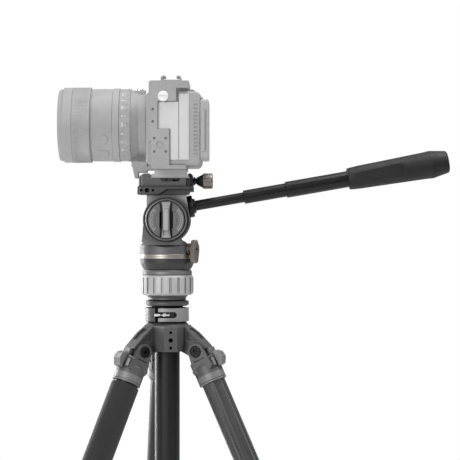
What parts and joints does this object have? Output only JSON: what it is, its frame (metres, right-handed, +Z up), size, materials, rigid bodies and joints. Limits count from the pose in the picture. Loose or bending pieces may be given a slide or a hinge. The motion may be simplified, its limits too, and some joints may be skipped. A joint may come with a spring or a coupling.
{
  "type": "camera on tripod",
  "caption": "Mirrorless video camera with a large prime lens in a metal cage, clamped to a compact fluid head with a pan handle on a carbon travel tripod.",
  "frame": {"origin": "on the floor between the three feet, on the axis of the centre column and of the pan bearing", "axes": "+Z up along the centre column, the lens points along -X, the pan handle leaves along +X, +Y is away from the side with the tilt dial and the port covers"},
  "size_m": [0.5155, 0.3824, 0.7157],
  "materials": {
    "black_casting": "satin dark grey powder coat on an aluminium casting",
    "bolt_black": "black oxide socket screws",
    "bright_steel": "bright turned steel",
    "bronze": "bronze-tinted anodised metal",
    "cage_grey": "pale grey anodised metal",
    "camera_grey": "pale grey satin body",
    "carbon": "clear-coated carbon fibre tube",
    "collar_metal": "grey anodised metal",
    "door_grey": "pale grey soft cover",
    "drag_ring_grey": "light grey bead-blasted metal",
    "foam": "matte black foam sleeve",
    "foot_rubber": "matte black rubber",
    "grip_rubber": "matte moulded rubber",
    "handle_metal": "black anodised tube",
    "head_metal": "fine satin black anodised metal",
    "latch_metal": "grey anodised metal",
    "lens_grey": "pale grey satin lens barrel",
    "lock_rubber": "ribbed matte black rubber",
    "optical_glass": "coated optical glass",
    "ring_grey": "pale grey ribbed ring",
    "screen_glass": "pale grey screen"
  },
  "bodies": {
    "spider": {"spider": "black_casting", "tripod_bolts": "bolt_black", "column_clamp_band": "collar_metal"},
    "clamp_lever": {"column_clamp_lever": "collar_metal"},
    "leg_right": {"leg_shoulder_right": "black_casting", "upper_tube_right": "carbon"},
    "latch_right": {"angle_latch_right": "latch_metal"},
    "upper_twist_right": {"upper_lock_right": "lock_rubber"},
    "middle_section_right": {"middle_tube_right": "carbon"},
    "lower_twist_right": {"lower_lock_right": "lock_rubber"},
    "lower_section_right": {"lower_tube_right": "carbon", "foot_right": "foot_rubber"},
    "leg_left": {"leg_shoulder_left": "black_casting", "upper_tube_left": "carbon", "foam_grip": "foam"},
    "latch_left": {"angle_latch_left": "latch_metal"},
    "upper_twist_left": {"upper_lock_left": "lock_rubber"},
    "middle_section_left": {"middle_tube_left": "carbon"},
    "lower_twist_left": {"lower_lock_left": "lock_rubber"},
    "lower_section_left": {"lower_tube_left": "carbon", "foot_left": "foot_rubber"},
    "leg_back": {"leg_shoulder_back": "black_casting", "upper_tube_back": "carbon"},
    "latch_back": {"angle_latch_back": "latch_metal"},
    "upper_twist_back": {"upper_lock_back": "lock_rubber"},
    "middle_section_back": {"middle_tube_back": "carbon"},
    "lower_twist_back": {"lower_lock_back": "lock_rubber"},
    "lower_section_back": {"lower_tube_back": "carbon", "foot_back": "foot_rubber"},
    "column": {"center_column": "carbon", "column_top_plate": "head_metal", "column_hook": "black_casting", "head_base": "collar_metal"},
    "drag_ring": {"pan_drag_ring": "drag_ring_grey"},
    "pan": {"pan_housing": "head_metal", "pan_trim_band": "bronze"},
    "pan_lock": {"pan_lock_lever": "bronze"},
    "tilt_dial": {"tilt_drag_dial": "head_metal"},
    "tilt": {"tilt_body": "head_metal", "tilt_axle": "black_casting", "top_plate": "head_metal", "handle_inner_tube": "handle_metal", "clamp_base": "head_metal"},
    "handle_middle": {"handle_middle_tube": "handle_metal"},
    "handle_outer": {"handle_outer_tube": "handle_metal", "handle_grip": "grip_rubber"},
    "jaw": {"clamp_jaw": "head_metal"},
    "knob": {"clamp_knob": "bronze"},
    "camera": {"quick_plate": "cage_grey", "camera_body": "camera_grey", "camera_cage": "cage_grey", "cage_screws": "bright_steel", "lens_barrel": "lens_grey", "lens_glass": "optical_glass"},
    "monitor": {"camera_monitor": "screen_glass"},
    "door_front": {"port_door_front": "door_grey"},
    "door_rear": {"port_door_rear": "door_grey"},
    "shutter": {"shutter_button": "bright_steel"},
    "focus_ring": {"lens_focus_ring": "ring_grey"},
    "iris_ring": {"lens_iris_ring": "ring_grey"}
  },
  "joints": [
    {"name": "clamp_lever_flip", "type": "hinge", "parent": "spider", "child": "clamp_lever", "pos_m": [-0.00639, -0.0223, 0.43988], "axis": [0, 0, -1], "range_deg": [0, 110]},
    {"name": "leg_spread_right", "type": "hinge", "parent": "spider", "child": "leg_right", "pos_m": [0.03848, -0.01555, 0.39827], "axis": [-0.3746, -0.9272, 0], "range_deg": [-25, 0]},
    {"name": "latch_pull_right", "type": "slide", "parent": "leg_right", "child": "latch_right", "axis": [0.8403, -0.3395, 0.4226], "range_m": [0, 0.0045], "stiffness_N_per_m": 300, "springref_m": -0.002},
    {"name": "upper_lock_twist_right", "type": "hinge", "parent": "leg_right", "child": "upper_twist_right", "pos_m": [0.03848, -0.01555, 0.39827], "axis": [0.3918, -0.1583, -0.9063], "range_deg": [0, 120]},
    {"name": "middle_extend_right", "type": "slide", "parent": "leg_right", "child": "middle_section_right", "axis": [0.3918, -0.1583, -0.9063], "range_m": [0, 0.24]},
    {"name": "lower_lock_twist_right", "type": "hinge", "parent": "middle_section_right", "child": "lower_twist_right", "pos_m": [0.03848, -0.01555, 0.39827], "axis": [0.3918, -0.1583, -0.9063], "range_deg": [0, 120]},
    {"name": "lower_extend_right", "type": "slide", "parent": "middle_section_right", "child": "lower_section_right", "axis": [0.3918, -0.1583, -0.9063], "range_m": [0, 0.24]},
    {"name": "leg_spread_left", "type": "hinge", "parent": "spider", "child": "leg_left", "pos_m": [-0.0327, -0.02555, 0.39827], "axis": [-0.6157, 0.788, 0], "range_deg": [-25, 0]},
    {"name": "latch_pull_left", "type": "slide", "parent": "leg_left", "child": "latch_left", "axis": [-0.7142, -0.558, 0.4226], "range_m": [0, 0.0045], "stiffness_N_per_m": 300, "springref_m": -0.002},
    {"name": "upper_lock_twist_left", "type": "hinge", "parent": "leg_left", "child": "upper_twist_left", "pos_m": [-0.0327, -0.02555, 0.39827], "axis": [-0.333, -0.2602, -0.9063], "range_deg": [0, 120]},
    {"name": "middle_extend_left", "type": "slide", "parent": "leg_left", "child": "middle_section_left", "axis": [-0.333, -0.2602, -0.9063], "range_m": [0, 0.24]},
    {"name": "lower_lock_twist_left", "type": "hinge", "parent": "middle_section_left", "child": "lower_twist_left", "pos_m": [-0.0327, -0.02555, 0.39827], "axis": [-0.333, -0.2602, -0.9063], "range_deg": [0, 120]},
    {"name": "lower_extend_left", "type": "slide", "parent": "middle_section_left", "child": "lower_section_left", "axis": [-0.333, -0.2602, -0.9063], "range_m": [0, 0.24]},
    {"name": "leg_spread_back", "type": "hinge", "parent": "spider", "child": "leg_back", "pos_m": [-0.00578, 0.0411, 0.39827], "axis": [0.9903, 0.1392, 0], "range_deg": [-25, 0]},
    {"name": "latch_pull_back", "type": "slide", "parent": "leg_back", "child": "latch_back", "axis": [-0.1261, 0.8975, 0.4226], "range_m": [0, 0.0045], "stiffness_N_per_m": 300, "springref_m": -0.002},
    {"name": "upper_lock_twist_back", "type": "hinge", "parent": "leg_back", "child": "upper_twist_back", "pos_m": [-0.00578, 0.0411, 0.39827], "axis": [-0.0588, 0.4185, -0.9063], "range_deg": [0, 120]},
    {"name": "middle_extend_back", "type": "slide", "parent": "leg_back", "child": "middle_section_back", "axis": [-0.0588, 0.4185, -0.9063], "range_m": [0, 0.24]},
    {"name": "lower_lock_twist_back", "type": "hinge", "parent": "middle_section_back", "child": "lower_twist_back", "pos_m": [-0.00578, 0.0411, 0.39827], "axis": [-0.0588, 0.4185, -0.9063], "range_deg": [0, 120]},
    {"name": "lower_extend_back", "type": "slide", "parent": "middle_section_back", "child": "lower_section_back", "axis": [-0.0588, 0.4185, -0.9063], "range_m": [0, 0.24]},
    {"name": "column_raise", "type": "slide", "parent": "spider", "child": "column", "axis": [0, 0, 1], "range_m": [0, 0.19]},
    {"name": "pan_drag_turn", "type": "hinge", "parent": "column", "child": "drag_ring", "pos_m": [0, 0, 0.47387], "axis": [0, 0, 1], "range_deg": [0, 270]},
    {"name": "pan", "type": "hinge", "parent": "column", "child": "pan", "pos_m": [0, 0, 0.49828], "axis": [0, 0, 1], "continuous": true},
    {"name": "pan_lock_turn", "type": "hinge", "parent": "pan", "child": "pan_lock", "pos_m": [0.02625, -0.01705, 0.51587], "axis": [0.8387, -0.5446, 0], "range_deg": [0, 90]},
    {"name": "tilt_drag_turn", "type": "hinge", "parent": "pan", "child": "tilt_dial", "pos_m": [0, -0.03, 0.54917], "axis": [0, 1, 0], "range_deg": [0, 180]},
    {"name": "tilt", "type": "hinge", "parent": "pan", "child": "tilt", "pos_m": [0, 0, 0.54917], "axis": [0, 1, 0], "range_deg": [-75, 45]},
    {"name": "handle_middle_push", "type": "slide", "parent": "tilt", "child": "handle_middle", "axis": [-0.9851, 0, -0.1719], "range_m": [0, 0.05]},
    {"name": "handle_outer_push", "type": "slide", "parent": "handle_middle", "child": "handle_outer", "axis": [-0.9851, 0, -0.1719], "range_m": [0, 0.045]},
    {"name": "jaw_open", "type": "slide", "parent": "tilt", "child": "jaw", "axis": [1, 0, 0], "range_m": [0, 0.003]},
    {"name": "knob_turn", "type": "hinge", "parent": "jaw", "child": "knob", "pos_m": [0.04, 0, 0.59427], "axis": [-1, 0, 0], "range_deg": [0, 720]},
    {"name": "plate_slide", "type": "slide", "parent": "tilt", "child": "camera", "axis": [0, 1, 0], "range_m": [-0.015, 0.015]},
    {"name": "monitor_swing", "type": "hinge", "parent": "camera", "child": "monitor", "pos_m": [0.0422, -0.0496, 0.65128], "axis": [0, 0, -1], "range_deg": [0, 175]},
    {"name": "door_front_open", "type": "hinge", "parent": "camera", "child": "door_front", "pos_m": [-0.0081, -0.04805, 0.64828], "axis": [0, 0, -1], "range_deg": [0, 85]},
    {"name": "door_rear_open", "type": "hinge", "parent": "camera", "child": "door_rear", "pos_m": [0.0257, -0.04805, 0.64828], "axis": [0, 0, 1], "range_deg": [0, 120]},
    {"name": "shutter_press", "type": "slide", "parent": "camera", "child": "shutter", "axis": [0, 0, -1], "range_m": [0, 0.001], "stiffness_N_per_m": 300, "springref_m": -0.0005},
    {"name": "focus_turn", "type": "hinge", "parent": "camera", "child": "focus_ring", "pos_m": [-0.097, 0, 0.65907], "axis": [1, 0, 0], "continuous": true},
    {"name": "iris_turn", "type": "hinge", "parent": "camera", "child": "iris_ring", "pos_m": [-0.047, 0, 0.65907], "axis": [1, 0, 0], "range_deg": [0, 90]}
  ],
  "couplings": [
    {"joint": "knob_turn", "follows": "jaw_open", "rad_per_m": 4188.8}
  ]
}
